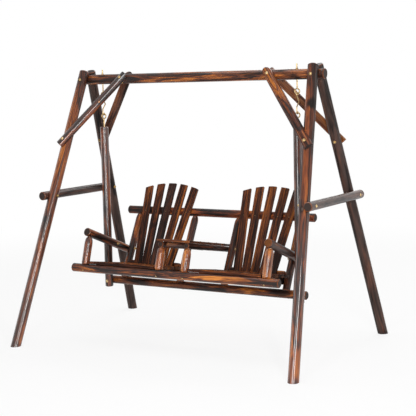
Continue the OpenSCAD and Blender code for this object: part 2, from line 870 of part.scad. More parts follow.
// Frame of a seat: y runs back along its slope from the front rail, z is square to it
module at_seat() {
  translate(yz(0, front_rail_at))
    rotate([-seat_slope, 0, 0])
      children();
}
module right_bearers() {
  difference() {
    at_seat()
      for (x = [bearer_in_x, bearer_out_x])
        translate([x - bearer_w / 2, rail_r / 2, seat_under - seat_fit - bearer_h])
          cube([bearer_w, bearer_end - rail_r / 2, bearer_h]);
    saddle(yz(-front_rail_l / 2, front_rail_at), yz(front_rail_l / 2, front_rail_at), rail_d);
  }
}
module seat_bearers_left() {
  color(wood_dark) mirror([1, 0, 0]) right_bearers();
}
module seat_bearers_right() {
  color(wood_dark) right_bearers();
}
module right_seat_boards() {
  at_seat()
    for (i = [0:seat_n - 1]) {
      low = i == 0 ? table_post_x + front_post_r + front_clear : seat_x - seat_w / 2;
      high = i == 0 ? arm_x - front_post_r - front_clear : seat_x + seat_w / 2;
      translate([low, i * (seat_board + seat_gap) - seat_nose, seat_under])
        cube([high - low, seat_board, seat_th]);
    }
}
module seat_boards_left() {
  color(wood) mirror([1, 0, 0]) right_seat_boards();
}
module seat_boards_right() {
  color(wood) right_seat_boards();
}

// Back slat number k of the right chair, counted from -2 to 2 outwards
module right_slat(k) {
  reach = slat_top_v - fan_v + 60;
  translate(yz(chair_x, back_at))
    rotate([-back_tilt, 0, 0])
      translate([0, slat_back_n, 0])
        rotate([90, 0, 0])
          linear_extrude(slat_th)
            intersection() {
              translate([0, fan_v])
                rotate(-k * fan_turn)
                  translate([-slat_w / 2, 0])
                    square([slat_w, reach]);
              translate([0, slat_top_v - crown_r])
                circle(r = crown_r, $fn = 180);
              translate([-chair_x, -slat_low])
                square([2 * chair_x, reach]);
            }
}
module slat_left_1() {
  color(wood_dark) mirror([1, 0, 0]) right_slat(2);
}
module slat_left_2() {
  color(wood_dark) mirror([1, 0, 0]) right_slat(1);
}
module slat_left_3() {
  color(wood_dark) mirror([1, 0, 0]) right_slat(0);
}
module slat_left_4() {
  color(wood) mirror([1, 0, 0]) right_slat(-1);
}
module slat_left_5() {
  color(wood) mirror([1, 0, 0]) right_slat(-2);
}
module slat_right_1() {
  color(wood_dark) right_slat(-2);
}
module slat_right_2() {
  color(wood_dark) right_slat(-1);
}
module slat_right_3() {
  color(wood_bright) right_slat(0);
}
module slat_right_4() {
  color(wood) right_slat(1);
}
module slat_right_5() {
  color(wood_dark) right_slat(2);
}

// Arms
arm_under = arm_r + shoulder_gap;
module right_arm() {
  difference() {
    log_between(yz(arm_x, arm_front), yz(arm_x, arm_end), arm_d);
    socket(yz(arm_x, arm_meet - lean_dir * arm_under), yz(arm_x, arm_meet));
    at_hang_arm()
      bolt_cut(hang_arm_bolt_l);
    at_arm_back()
      bolt_cut(arm_back_bolt_l);
  }
}
module arm_left() {
  color(wood_dark) mirror([1, 0, 0]) right_arm();
}
module arm_right() {
  color(wood_dark) right_arm();
}

// Leaning post scribed onto the front rail, with a tenon at each end
front_foot = rail_r - foot_sink;
module leaning_post(x, top) {
  low = yz(x, front_rail_at + lean_dir * front_foot);
  difference() {
    tenoned_log(low, yz(x, top), front_post_d, foot_l, neck_l);
    difference() {
      saddle(yz(x - front_post_d, front_rail_at), yz(x + front_post_d, front_rail_at), rail_d);
      along(low - yz(0, lean_dir * tenon_l), low + yz(0, lean_dir * tenon_l))
        translate([0, 0, -10])
          cylinder(d = tenon_d, h = 2 * tenon_l + 20);
    }
  }
}
arm_post_top = arm_meet - lean_dir * arm_under;
table_post_skew = abs(post_lean - table_slope);
table_post_top = side_rail_at
  - lean_dir * (side_rail_r / cos(table_post_skew) + tenon_d / 2 * tan(table_post_skew) + shoulder_gap);
module arm_post_left() {
  color(wood_bright) leaning_post(-arm_x, arm_post_top);
}
module arm_post_right() {
  color(wood_bright) leaning_post(arm_x, arm_post_top);
}
module table_post_left() {
  color(wood_bright) leaning_post(-table_post_x, table_post_top);
}
module table_post_right() {
  color(wood_bright) leaning_post(table_post_x, table_post_top);
}

// Table, seen along its slope from the middle of the line between the tops of its posts
module at_table() {
  translate(yz(0, side_rail_at))
    rotate([-table_slope, 0, 0])
      children();
}

// Front rail, tenoned between the side rails behind the posts and level with their flats
table_rail_at = side_rail_pt(table_rail_back);
table_rail_half = table_rail_at.x - side_rail_r / cos(side_rail_toe)
  - tenon_d / 2 * tan(side_rail_toe) - shoulder_gap;
table_rail_up = (side_rail_top - table_rail_r) * [0, sin(table_slope), cos(table_slope)];
module table_front_rail() {
  right = [table_rail_half, table_rail_at.y, table_rail_at.z] + table_rail_up;
  left = [-right.x, right.y, right.z];
  color(wood_dark) tenoned_log(left, right, table_rail_d, rail_neck_l, rail_neck_l);
}
module right_side_rail() {
  inside = [table_rail_half, table_rail_at.y, table_rail_at.z] + table_rail_up;
  difference() {
    log_between(side_rail_pt(-side_rail_past), side_rail_pt(side_rail_end), side_rail_d);
    at_table()
      translate([0, table_start, side_rail_top])
        cube([table_w, table_depth, side_rail_r]);
    socket(yz(table_post_x, table_post_top), yz(table_post_x, side_rail_at));
    socket(inside, inside + [tenon_l, 0, 0]);
    at_table_bolt()
      bolt_cut(table_bolt_l);
  }
}
module table_side_rail_left() {
  color(wood) mirror([1, 0, 0]) right_side_rail();
}
module table_side_rail_right() {
  color(wood) right_side_rail();
}
module table_boards() {
  color(wood_bright)
    at_table()
      for (i = [0:table_n - 1])
        translate([-table_w / 2, table_start + i * (table_board + table_gap), side_rail_top + seat_fit])
          cube([table_w, table_board, table_th]);
}

beam();
leg_front_left();
leg_front_right();
leg_rear_left();
leg_rear_right();
side_bar_left();
side_bar_right();
brace_front_left();
brace_front_right();
brace_rear_left();
brace_rear_right();
beam_eye_left();
beam_eye_right();
beam_eye_nuts();
apex_bolts();
side_bar_bolts();
brace_bolts();
s_hook_left();
s_hook_right();
hang_post_left();
hang_post_right();
post_eye_left();
post_eye_right();
front_rail();
lower_rail();
back_rail();
back_post_outer_left();
back_post_inner_left();
back_post_inner_right();
back_post_outer_right();
seat_rear_rail_left();
seat_rear_rail_right();
seat_bearers_left();
seat_bearers_right();
slat_left_1();
slat_left_2();
slat_left_3();
slat_left_4();
slat_left_5();
slat_right_1();
slat_right_2();
slat_right_3();
slat_right_4();
slat_right_5();
seat_boards_left();
seat_boards_right();
arm_left();
arm_right();
arm_post_left();
arm_post_right();
table_post_left();
table_post_right();
table_front_rail();
table_side_rail_left();
table_side_rail_right();
table_boards();
bench_bolts();
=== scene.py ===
"""Dresses the porch swing with its stand: scorched logs and boards, yellow zinc hooks and bolts, screws."""

import itertools
import json
import math
from types import SimpleNamespace as Shares

import bpy
from mathutils import Matrix, Vector, noise

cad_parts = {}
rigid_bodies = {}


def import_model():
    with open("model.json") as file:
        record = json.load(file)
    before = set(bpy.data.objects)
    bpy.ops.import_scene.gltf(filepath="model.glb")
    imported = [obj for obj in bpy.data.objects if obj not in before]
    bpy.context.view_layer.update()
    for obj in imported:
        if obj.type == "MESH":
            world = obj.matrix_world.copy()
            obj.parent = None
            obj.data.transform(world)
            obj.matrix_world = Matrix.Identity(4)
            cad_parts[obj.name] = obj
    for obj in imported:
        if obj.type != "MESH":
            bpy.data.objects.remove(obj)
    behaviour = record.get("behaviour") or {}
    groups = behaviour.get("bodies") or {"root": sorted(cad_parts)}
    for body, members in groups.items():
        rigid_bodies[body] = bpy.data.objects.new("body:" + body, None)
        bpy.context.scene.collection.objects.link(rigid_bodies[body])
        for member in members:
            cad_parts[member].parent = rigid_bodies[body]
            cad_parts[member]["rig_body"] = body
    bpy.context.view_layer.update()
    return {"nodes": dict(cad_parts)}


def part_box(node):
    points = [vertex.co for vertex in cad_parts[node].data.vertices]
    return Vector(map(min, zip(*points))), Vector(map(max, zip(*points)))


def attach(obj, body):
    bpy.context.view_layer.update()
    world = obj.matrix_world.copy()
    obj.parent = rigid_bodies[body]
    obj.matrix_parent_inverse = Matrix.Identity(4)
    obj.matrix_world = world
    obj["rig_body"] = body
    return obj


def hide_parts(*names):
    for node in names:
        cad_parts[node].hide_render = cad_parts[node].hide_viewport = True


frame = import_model()
nodes = frame["nodes"]

# Camera at the photograph's viewing angle
PHOTO_WIDTH = 416
FOCAL_PIXELS = 1102.5
SENSOR_WIDTH = 36
CLIP_NEAR, CLIP_FAR = 0.1, 100
CAMERA_PLACE = Vector((3.5137, -5.8029, 1.5960))
CAMERA_YAW, CAMERA_PITCH, CAMERA_ROLL = 0.53522, -0.11239, -0.02272

forward = Vector(
    (
        -math.sin(CAMERA_YAW) * math.cos(CAMERA_PITCH),
        math.cos(CAMERA_YAW) * math.cos(CAMERA_PITCH),
        math.sin(CAMERA_PITCH),
    )
)
level = Vector((math.cos(CAMERA_YAW), math.sin(CAMERA_YAW), 0))
upright = level.cross(forward)
right = level * math.cos(CAMERA_ROLL) + upright * math.sin(CAMERA_ROLL)
up = -level * math.sin(CAMERA_ROLL) + upright * math.cos(CAMERA_ROLL)

camera_data = bpy.data.cameras.new("photo_camera")
camera_data.sensor_width = SENSOR_WIDTH
camera_data.lens = FOCAL_PIXELS / PHOTO_WIDTH * camera_data.sensor_width
camera_data.clip_start, camera_data.clip_end = CLIP_NEAR, CLIP_FAR
camera = bpy.data.objects.new("photo_camera", camera_data)
camera.matrix_world = Matrix.Translation(CAMERA_PLACE) @ Matrix(
    (right, up, -forward)
).transposed().to_4x4()
bpy.context.scene.collection.objects.link(camera)
bpy.context.scene.camera = camera
bpy.context.scene.view_settings.view_transform = "Standard"


# Each pattern of noise has a place of its own: steps from one place to the next, and where they start over
SHIFT_STEPS, SHIFT_SPAN = (7.31, 3.77, 11.13), 50
draws = itertools.count(1)


def shift():
    """A new place in the noise for each pattern."""
    draw = next(draws)
    return tuple(draw * step % SHIFT_SPAN for step in SHIFT_STEPS)


class Wire:
    """A shader socket that takes part in sums."""

    def __init__(self, finish, socket):
        self.finish, self.socket = finish, socket

    def maths(self, operation, *values):
        return self.finish.node("ShaderNodeMath", {"operation": operation}, *values)

    def __add__(self, other):
        return self.maths("ADD", self, other)

    def __sub__(self, other):
        return self.maths("SUBTRACT", self, other)

    def __rsub__(self, other):
        return self.maths("SUBTRACT", other, self)

    def __mul__(self, other):
        return self.maths("MULTIPLY", self, other)

    def __truediv__(self, other):
        return self.maths("DIVIDE", self, other)

    __radd__ = __add__
    __rmul__ = __mul__

    def size(self):
        return self.maths("ABSOLUTE", self)

    def root(self):
        return self.maths("POWER", self, 0.5)

    def most(self, other):
        return self.maths("MAXIMUM", self, other)

    def wave(self):
        """A sine of the value, between 0 and 1."""
        return self.maths("SINE", self) * 0.5 + 0.5

    def rise(self, low, high):
        """0 below low, 1 above high, and smooth between them."""
        settings = {"interpolation_type": "SMOOTHSTEP"}
        return self.finish.node("ShaderNodeMapRange", settings, self, low, high)


# Sockets of a Mix node that mixes colours
MIX_AMOUNT, MIX_UNDER, MIX_OVER, MIX_RESULT = 0, 6, 7, 2


class Finish:
    """A material under construction, with one method that adds any shader node."""

    def __init__(self, name):
        self.material = bpy.data.materials.new(name)
        self.material.use_nodes = True
        self.tree = self.material.node_tree
        self.surface = next(n for n in self.tree.nodes if n.type == "BSDF_PRINCIPLED")

    def node(self, kind, settings, *values, out=0, **named):
        made = self.tree.nodes.new(kind)
        for key, value in settings.items():
            if key == "stops":
                ramp = made.color_ramp.elements
                while len(ramp) < len(value):
                    ramp.new(0.5)
                for stop, (place, colour) in zip(ramp, value):
                    stop.position = place
                    stop.color = (*colour, 1)
            else:
                setattr(made, key, value)
        sockets = [*zip(made.inputs, values)]
        sockets += [(made.inputs[key.replace("_", " ")], value) for key, value in named.items()]
        for socket, value in sockets:
            self.join(socket, value)
        return Wire(self, made.outputs[out])

    def join(self, socket, value):
        if isinstance(value, Wire):
            self.tree.links.new(value.socket, socket)
        else:
            socket.default_value = value

    def mix(self, under, over, amount):
        """Colour under, covered by colour over where amount is 1."""
        made = self.tree.nodes.new("ShaderNodeMix")
        made.data_type = "RGBA"
        for index, value in ((MIX_AMOUNT, amount), (MIX_UNDER, under), (MIX_OVER, over)):
            if isinstance(value, tuple):
                value = (*value, 1)
            self.join(made.inputs[index], value)
        return Wire(self, made.outputs[MIX_RESULT])

    def ramp(self, value, *stops):
        return self.node("ShaderNodeValToRGB", {"stops": stops}, value)

    def stretched(self, place, scale, moved):
        return self.node("ShaderNodeMapping", {}, Vector=place, Scale=scale, Location=moved)

    def noise(self, place, scale, detail, rough=0.55, twist=0.0):
        return self.node(
            "ShaderNodeTexNoise",
            {},
            Vector=self.stretched(place, scale, shift()),
            Scale=1.0,
            Detail=detail,
            Roughness=rough,
            Distortion=twist,
        )

    def paint(self, **sockets):
        """Sets the surface's own sockets."""
        for key, value in sockets.items():
            if isinstance(value, tuple):
                value = (*value, 1)
            self.join(self.surface.inputs[key.replace("_", " ")], value)

    def relief(self, height, strength, distance):
        bump = self.node(
            "ShaderNodeBump", {}, Height=height, Strength=strength, Distance=distance
        )
        self.join(self.surface.inputs["Normal"], bump)

    def on(self, piece):
        piece.data.materials.clear()
        piece.data.materials.append(self.material)


# The long axis of a cloud of corners is found by turning a guess towards it again and again
AXIS_GUESS, AXIS_ROUNDS = (0.31, 0.52, 0.79), 60
NEARLY_PARALLEL = 0.9


def lie(node, long_axis=None, flat_axis=None):
    """Middle of a node, the turn whose columns are its width, thickness and length, and its half length."""
    low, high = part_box(node)
    middle = (low + high) / 2
    arms = [corner.co - middle for corner in nodes[node].data.vertices]
    if long_axis is None:
        spread = [[sum(p[i] * p[k] for p in arms) for k in range(3)] for i in range(3)]
        axis = Vector(AXIS_GUESS)
        for _ in range(AXIS_ROUNDS):
            axis = (Matrix(spread) @ axis).normalized()
    else:
        axis = Vector(long_axis).normalized()
    side = Vector(flat_axis) if flat_axis else Vector((0, 1, 0))
    if abs(axis.dot(side)) > NEARLY_PARALLEL:
        side = Vector((0, 0, 1))
    side = (side - axis * side.dot(axis)).normalized()
    turn = Matrix((side.cross(axis).normalized(), side, axis)).transposed()
    return middle, turn, max(abs(p.dot(axis)) for p in arms)


def along_piece(f, node, *axes):
    """Place on the piece, how far the surface faces the piece's ends, and the piece's half length.

    The place is counted from the piece's middle, with the piece's length on Z.
    """
    middle, turn, reach = lie(node, *axes)
    back = turn.transposed()
    place = f.node(
        "ShaderNodeMapping",
        {},
        Vector=f.node("ShaderNodeTexCoord", {}, out="Object"),
        Rotation=back.to_euler("XYZ"),
        Location=-(back @ middle),
    )
    end_on = f.node(
        "ShaderNodeVectorMath",
        {"operation": "DOT_PRODUCT"},
        f.node("ShaderNodeTexCoord", {}, out="Normal"),
        tuple(turn.col[2]),
        out="Value",
    ).size()
    return place, end_on, reach


# Colours of the scorched wood, as linear values
BLACK = (0.007, 0.0045, 0.004)
CHAR = (0.022, 0.0095, 0.0065)
RED_BROWN = (0.078, 0.0215, 0.0105)
RUST = (0.185, 0.052, 0.015)
ORANGE = (0.360, 0.112, 0.020)
AMBER = (0.580, 0.205, 0.038)
GREY_BROWN = (0.075, 0.048, 0.040)
PALE_KNOT = (0.45, 0.21, 0.10)
BOARD_BROWN = (0.058, 0.0185, 0.0105)
BOARD_RUST = (0.125, 0.036, 0.014)
BOARD_ORANGE = (0.250, 0.074, 0.018)
BOARD_GREY = (0.030, 0.024, 0.023)

# Patterns in the wood. Scales are per metre: across the piece, through it and along it
LOG_FLOW = dict(scale=(9.5, 9.5, 1.1), detail=2.0, rough=0.5, twist=0.5)
LOG_LICK = dict(scale=(30, 30, 3.4), detail=3.5, rough=0.62, twist=0.7)
LOG_FIBRE = dict(scale=(280, 280, 6), detail=2.5)
LOG_SCORCH = dict(scale=(15, 15, 3.0), detail=3.5, rough=0.6, twist=0.8)
RING_BEND = dict(scale=(30, 30, 30), detail=2.0)
KNOT_CELLS = (7.0, 7.0, 4.6)
BOARD_FLOW = dict(scale=(14, 9, 1.7), detail=2.0, rough=0.5, twist=0.4)
BOARD_STREAK = dict(scale=(60, 60, 2.4), detail=3.5, rough=0.6, twist=0.25)
BOARD_FIBRE = dict(scale=(340, 340, 6), detail=2.5, rough=0.6)
BOARD_SCORCH = dict(scale=(11, 11, 4.0), detail=4.0, rough=0.62, twist=0.6)
NOISE_MEAN, MIDDLE_TONE = 0.5, 0.5

# Where a pattern starts to show, and from where on it shows in full
KNOT_EDGE, HALO_EDGE = (0.055, 0.11), (0.10, 0.34)
LOG_OUTLINE, BOARD_OUTLINE = (0.62, 0.98), (0.6, 0.98)
LOG_PATCH, BOARD_PATCH = (0.60, 0.70), (0.60, 0.72)
LOG_FIBRE_EDGE, BOARD_FIBRE_EDGE = (0.36, 0.52), (0.38, 0.56)
LOG_WEATHERED, BOARD_WEATHERED = (0.36, 0.56), (0.34, 0.56)
MARK_RIM, MARK_EDGE = (0.85, 1.05), (0.8, 1.7)
PALE_WOOD = (0.45, 0.65)

# The same for shares of a piece's half length, and for how far the surface faces the piece's ends
LAST_BIT, TOWARDS_END, TOWARDS_FOOT = (0.94, 1.0), (0.1, 0.9), (-0.3, 0.4)
RINGS_SHOW, CHAMFER_STARTS, CHAMFER_ENDS = (0.86, 0.93), (0.5, 0.62), (0.8, 0.88)
LOG_END, BOARD_END = (0.8, 0.9), (0.7, 0.9)

# Bands of the outlines, and rings of the sawn ends, by how fast they follow one another
LOG_BANDS = Shares(flow=52, lick=5, halo=2)
BOARD_BANDS = Shares(flow=60, streak=6)
RINGS = Shares(radius=1500, bend=9)

# How strongly a pattern makes the wood paler and darker, and how much another darkens it
LOG_SWAY = Shares(flow=0.75, lick=0.85, fibre=0.30)
LOG_DARKER = Shares(outline=0.10, halo=0.05, knot=0.25, ends=0.06)
BOARD_SWAY = Shares(flow=0.50, streak=0.65, fibre=0.55)
BOARD_DARKER = Shares(outline=0.05)

# The wood's tones from scorched to bare, and what the red look adds to the rust
LOG_STOPS = (0.33, 0.42, 0.49, 0.555, 0.63, 0.74)
BOARD_STOPS = (0.36, 0.44, 0.51, 0.575, 0.65, 0.75)
BOARD_TONES = (BLACK, CHAR, BOARD_BROWN, BOARD_RUST, BOARD_ORANGE, ORANGE)
REDDER = (0.03, -0.008, 0.0)

# How far each pattern covers the wood with its colour, and how much varnish it takes away
LOG_COVER = Shares(patch=0.85, fibre=0.5, rings=0.6, chamfer=0.6)
BOARD_COVER = Shares(patch=0.8, fibre=0.6, end=0.5)
LOG_DULLER = Shares(patch=0.55, end=0.8)
BOARD_DULLER = Shares(patch=0.6)

# Roughness of the wood, less where it is pale and more in a patch, and how far each pattern stands out
LOG_ROUGHNESS = Shares(wood=0.52, pale=0.10, patch=0.12)
BOARD_ROUGHNESS = Shares(wood=0.58, pale=0.08)
LOG_RELIEF = Shares(lick=0.4, fibre=0.22, knot=0.6, outline=0.08)
BOARD_RELIEF = Shares(streak=0.35, fibre=0.5)

# How far the lick frays a mark's rim and edge, and how much wider the edge is drawn for that
MARK_FRAY = Shares(rim=0.6, edge=2.4, wider=1.0)


def log_finish(
    name,
    node,
    glow=0.0,
    grey=0.0,
    gloss=0.8,
    red=0.0,
    black=0.0,
    figure=0.6,
    wild=1.0,
    upper=0.0,
    lower=0.0,
    foot_gloss=0.0,
    sawn=GREY_BROWN,
    marks=(),
):
    """Scorched, varnished log: flame figures outlined in black along it, knots, sawn ends with rings.

    glow makes it paler, upper only towards its top and lower only towards its foot. grey weathers it, red
    reddens it, black adds scorched patches, figure draws the outlines and wild widens its range of tones.
    gloss is its varnish, and foot_gloss adds to that towards the foot. sawn is the colour of its ends' rings.
    A mark has a place, a half width, a half length and a colour.
    """
    f = Finish(name)
    place, end_on, reach = along_piece(f, node)
    split = f.node("ShaderNodeSeparateXYZ", {}, place).socket.node
    x, y, along = (Wire(f, output) for output in split.outputs)

    knots = f.node(
        "ShaderNodeTexVoronoi",
        {},
        Vector=f.stretched(place, KNOT_CELLS, shift()),
        Scale=1.0,
        Randomness=1.0,
    )
    knot = 1 - knots.rise(*KNOT_EDGE)
    halo = 1 - knots.rise(*HALO_EDGE)

    flow, lick, fibre, scorch = (
        f.noise(place, **pattern) for pattern in (LOG_FLOW, LOG_LICK, LOG_FIBRE, LOG_SCORCH)
    )
    bands = flow * LOG_BANDS.flow + lick * LOG_BANDS.lick + halo * LOG_BANDS.halo
    outline = bands.wave().rise(*LOG_OUTLINE) * figure
    patch = scorch.rise(*(edge - black for edge in LOG_PATCH))
    heat = (flow - NOISE_MEAN) * (LOG_SWAY.flow * wild)
    heat = heat + (lick - NOISE_MEAN) * (LOG_SWAY.lick * wild)
    heat = heat + (fibre - NOISE_MEAN) * LOG_SWAY.fibre + (MIDDLE_TONE + glow)
    heat = heat - outline * LOG_DARKER.outline - halo * LOG_DARKER.halo - knot * LOG_DARKER.knot
    heat = heat - (along.size() / reach).rise(*LAST_BIT) * LOG_DARKER.ends
    if upper:
        heat = heat + (along / reach).rise(*TOWARDS_END) * upper
    if lower:
        heat = heat + (along / -reach).rise(*TOWARDS_END) * lower
    rust = tuple(part + red * change for part, change in zip(RUST, REDDER))
    wood = f.ramp(heat, *zip(LOG_STOPS, (BLACK, CHAR, RED_BROWN, rust, ORANGE, AMBER)))
    wood = f.mix(wood, BLACK, patch * LOG_COVER.patch)
    wood = f.mix(wood, BLACK, (1 - fibre.rise(*LOG_FIBRE_EDGE)) * LOG_COVER.fibre)
    if grey:
        wood = f.mix(wood, GREY_BROWN, lick.rise(*LOG_WEATHERED) * grey)

    middle, turn, _ = lie(node)
    for spot, half_width, half_length, colour in marks:
        there = turn.transposed() @ (Vector(spot) - middle)
        scale = (1 / half_width, 1 / half_width, 1 / half_length)
        off = f.node(
            "ShaderNodeVectorMath",
            {"operation": "LENGTH"},
            f.stretched(place, scale, tuple(-t * k for t, k in zip(there, scale))),
            out="Value",
        )
        rim = f.mix(BLACK, colour, 1 - (off + lick * MARK_FRAY.rim).rise(*MARK_RIM))
        spread = 1 - (off + lick * MARK_FRAY.edge - MARK_FRAY.wider).rise(*MARK_EDGE)
        wood = f.mix(wood, rim, spread)
        patch = patch.most(spread)

    # Sawn ends, scorched dark, with rings, inside a paler ring where the edge is chamfered
    ring = (x * x + y * y).root() * RINGS.radius + f.noise(place, **RING_BEND) * RINGS.bend
    rings = f.mix(BLACK, sawn, ring.wave() * LOG_COVER.rings)
    wood = f.mix(wood, rings, end_on.rise(*RINGS_SHOW))
    edge = end_on.rise(*CHAMFER_STARTS) * (1 - end_on.rise(*CHAMFER_ENDS))
    wood = f.mix(wood, RUST, edge * LOG_COVER.chamfer)

    varnish = gloss
    if foot_gloss:
        varnish = (along / -reach).rise(*TOWARDS_FOOT) * foot_gloss + gloss
    rough = LOG_ROUGHNESS.wood - heat.rise(*PALE_WOOD) * LOG_ROUGHNESS.pale
    kept = (1 - patch * LOG_DULLER.patch) * (1 - end_on.rise(*LOG_END) * LOG_DULLER.end)
    f.paint(
        Base_Color=wood,
        Roughness=rough + patch * LOG_ROUGHNESS.patch,
        Coat_Weight=kept * varnish,
        Coat_Roughness=0.11,
        Coat_IOR=1.5,
        Specular_IOR_Level=0.12,
    )
    height = lick * LOG_RELIEF.lick + fibre * LOG_RELIEF.fibre
    height = height - knot * LOG_RELIEF.knot - outline * LOG_RELIEF.outline
    f.relief(height, strength=0.5, distance=0.0016)
    return f


def board_finish(name, node, axes, glow=0.0, grey=0.0, gloss=0.08, black=0.0):
    """Scorched board: straight brushed grain, dark reddish brown with orange streaks and black patches.

    axes are the directions of its length, None to find it, and of its thickness. The rest is as for a log.
    """
    f = Finish(name)
    place, end_on, _ = along_piece(f, node, *axes)
    flow, streak, fibre, scorch = (
        f.noise(place, **pattern)
        for pattern in (BOARD_FLOW, BOARD_STREAK, BOARD_FIBRE, BOARD_SCORCH)
    )
    outline = (flow * BOARD_BANDS.flow + streak * BOARD_BANDS.streak).wave().rise(*BOARD_OUTLINE)
    patch = scorch.rise(*(edge - black for edge in BOARD_PATCH))
    heat = (flow - NOISE_MEAN) * BOARD_SWAY.flow + (streak - NOISE_MEAN) * BOARD_SWAY.streak
    heat = heat + (fibre - NOISE_MEAN) * BOARD_SWAY.fibre + (MIDDLE_TONE + glow)
    heat = heat - outline * BOARD_DARKER.outline
    wood = f.ramp(heat, *zip(BOARD_STOPS, BOARD_TONES))
    wood = f.mix(wood, BLACK, patch * BOARD_COVER.patch)
    wood = f.mix(wood, BLACK, (1 - fibre.rise(*BOARD_FIBRE_EDGE)) * BOARD_COVER.fibre)
    if grey:
        wood = f.mix(wood, BOARD_GREY, streak.rise(*BOARD_WEATHERED) * grey)
    wood = f.mix(wood, f.mix(BLACK, wood, BOARD_COVER.end), end_on.rise(*BOARD_END))
    f.paint(
        Base_Color=wood,
        Roughness=BOARD_ROUGHNESS.wood - heat.rise(*PALE_WOOD) * BOARD_ROUGHNESS.pale,
        Coat_Weight=(1 - patch * BOARD_DULLER.patch) * gloss,
        Coat_Roughness=0.3,
        Coat_IOR=1.38,
        Specular_IOR_Level=0.08,
    )
    height = streak * BOARD_RELIEF.streak + fibre * BOARD_RELIEF.fibre
    f.relief(height, strength=0.6, distance=0.0012)
    return f


# Patterns and tones of yellow zinc plating, and how much of its light is left under varnish
ZINC_DRIFT = dict(scale=(70, 70, 70), detail=3.0, rough=0.6)
ZINC_SPECKLE = dict(scale=(900, 900, 900), detail=2.0, rough=0.6)
ZINC_TONES = (
    (0.32, (0.28, 0.185, 0.075)),
    (0.48, (0.43, 0.295, 0.135)),
    (0.60, (0.54, 0.400, 0.225)),
    (0.70, (0.49, 0.320, 0.190)),
)
ZINC_ROUGHNESS = Shares(metal=0.27, speckle=0.16)
UNDER_VARNISH = 0.35


def zinc_finish(name, shade=1.0):
    """Steel plated with yellow zinc: pale brass colour with greenish and pinkish drifts."""
    f = Finish(name)
    place = f.node("ShaderNodeTexCoord", {}, out="Object")
    drift, speckle = (f.noise(place, **pattern) for pattern in (ZINC_DRIFT, ZINC_SPECKLE))
    f.paint(
        Base_Color=f.ramp(
            drift, *((stop, tuple(c * shade for c in colour)) for stop, colour in ZINC_TONES)
        ),
        Metallic=1.0,
        Roughness=ZINC_ROUGHNESS.metal + speckle * ZINC_ROUGHNESS.speckle,
        Specular_IOR_Level=0.5,
    )
    f.relief(speckle, strength=0.15, distance=0.0002)
    return f


# Places of the marks that stand out: a black patch and a knot on the front right leg, a knot on a brace
FR_PATCH = (0.8476, -0.1378, 1.472)
FR_KNOT = (0.885, -0.357, 0.900)
FL_KNOT = (-0.634, -0.127, 1.497)

LOGS = {
    "beam": dict(glow=0.035, gloss=0.35, figure=1.0),
    "leg_front_left": dict(
        glow=0.012,
        gloss=0.45,
        foot_gloss=0.55,
        red=0.3,
        figure=0.8,
        wild=0.36,
        upper=0.03,
        black=-0.10,
    ),
    "leg_front_right": dict(
        glow=-0.03,
        gloss=0.3,
        foot_gloss=0.7,
        red=0.4,
        figure=0.8,
        wild=0.5,
        lower=0.05,
        black=-0.08,
        marks=((FR_PATCH, 0.028, 0.030, BLACK), (FR_KNOT, 0.016, 0.022, GREY_BROWN)),
    ),
    "leg_rear_left": dict(glow=-0.06, grey=0.6, gloss=0.15, wild=0.5),
    "leg_rear_right": dict(glow=-0.08, grey=0.6, gloss=0.15, wild=0.5),
    "side_bar_left": dict(glow=-0.04, grey=0.5, gloss=0.25, wild=0.6),
    "side_bar_right": dict(glow=0.03, grey=0.8, gloss=0.6, wild=0.8),
    "brace_front_left": dict(
        glow=0.005, gloss=1.0, red=0.4, marks=((FL_KNOT, 0.009, 0.013, PALE_KNOT),)
    ),
    "brace_front_right": dict(glow=0.06, gloss=0.12, figure=1.0, wild=0.6),
    "brace_rear_left": dict(glow=0.06, grey=0.5, gloss=0.1, wild=0.6),
    "brace_rear_right": dict(glow=0.09, grey=0.5, gloss=0.2, wild=0.7),
    "hang_post_left": dict(glow=-0.01, gloss=1.0, red=0.6, wild=0.8),
    "hang_post_right": dict(glow=-0.03, gloss=1.0, red=0.6, wild=0.6),
    "front_rail": dict(glow=0.055, gloss=0.5, figure=1.0),
    "lower_rail": dict(glow=-0.045, gloss=0.3, figure=0.9),
    "back_rail": dict(glow=-0.01, gloss=0.2, red=0.8),
    "back_post_outer_left": dict(glow=0.03, gloss=0.3, red=0.4),
    "back_post_inner_left": dict(glow=0.045, gloss=0.4, red=0.5),
    "back_post_inner_right": dict(glow=-0.08, gloss=0.2),
    "back_post_outer_right": dict(glow=0.01, gloss=0.3),
    "seat_rear_rail_left": dict(glow=-0.06, gloss=0.15),
    "seat_rear_rail_right": dict(glow=0.0, gloss=0.15),
    "arm_left": dict(glow=-0.06, gloss=0.35),
    "arm_right": dict(glow=-0.04, grey=0.5, gloss=0.35, sawn=ORANGE),
    "arm_post_left": dict(glow=0.085, gloss=1.0, red=0.5, wild=0.6, black=-0.1),
    "arm_post_right": dict(glow=0.14, gloss=1.0, wild=0.6, black=-0.1),
    "table_post_left": dict(glow=0.055, gloss=0.8, red=0.6, wild=0.6, black=-0.1),
    "table_post_right": dict(glow=0.06, gloss=0.9, red=0.5, wild=0.6, black=-0.1),
    "table_front_rail": dict(glow=-0.03, grey=0.7, gloss=0.3),
    "table_side_rail_left": dict(glow=-0.07, gloss=0.15),
    "table_side_rail_right": dict(glow=-0.06, gloss=0.15),
}
SLATS = {
    "slat_left_1": dict(glow=0.015),
    "slat_left_2": dict(glow=-0.015),
    "slat_left_3": dict(glow=0.01, grey=0.5),
    "slat_left_4": dict(glow=0.085),
    "slat_left_5": dict(glow=0.035),
    "slat_right_1": dict(glow=0.035, black=-0.03),
    "slat_right_2": dict(glow=0.015),
    "slat_right_3": dict(glow=0.06),
    "slat_right_4": dict(glow=0.04),
    "slat_right_5": dict(glow=0.015),
}
SEAT_GLOW = {"left": 0.13, "right": 0.06}

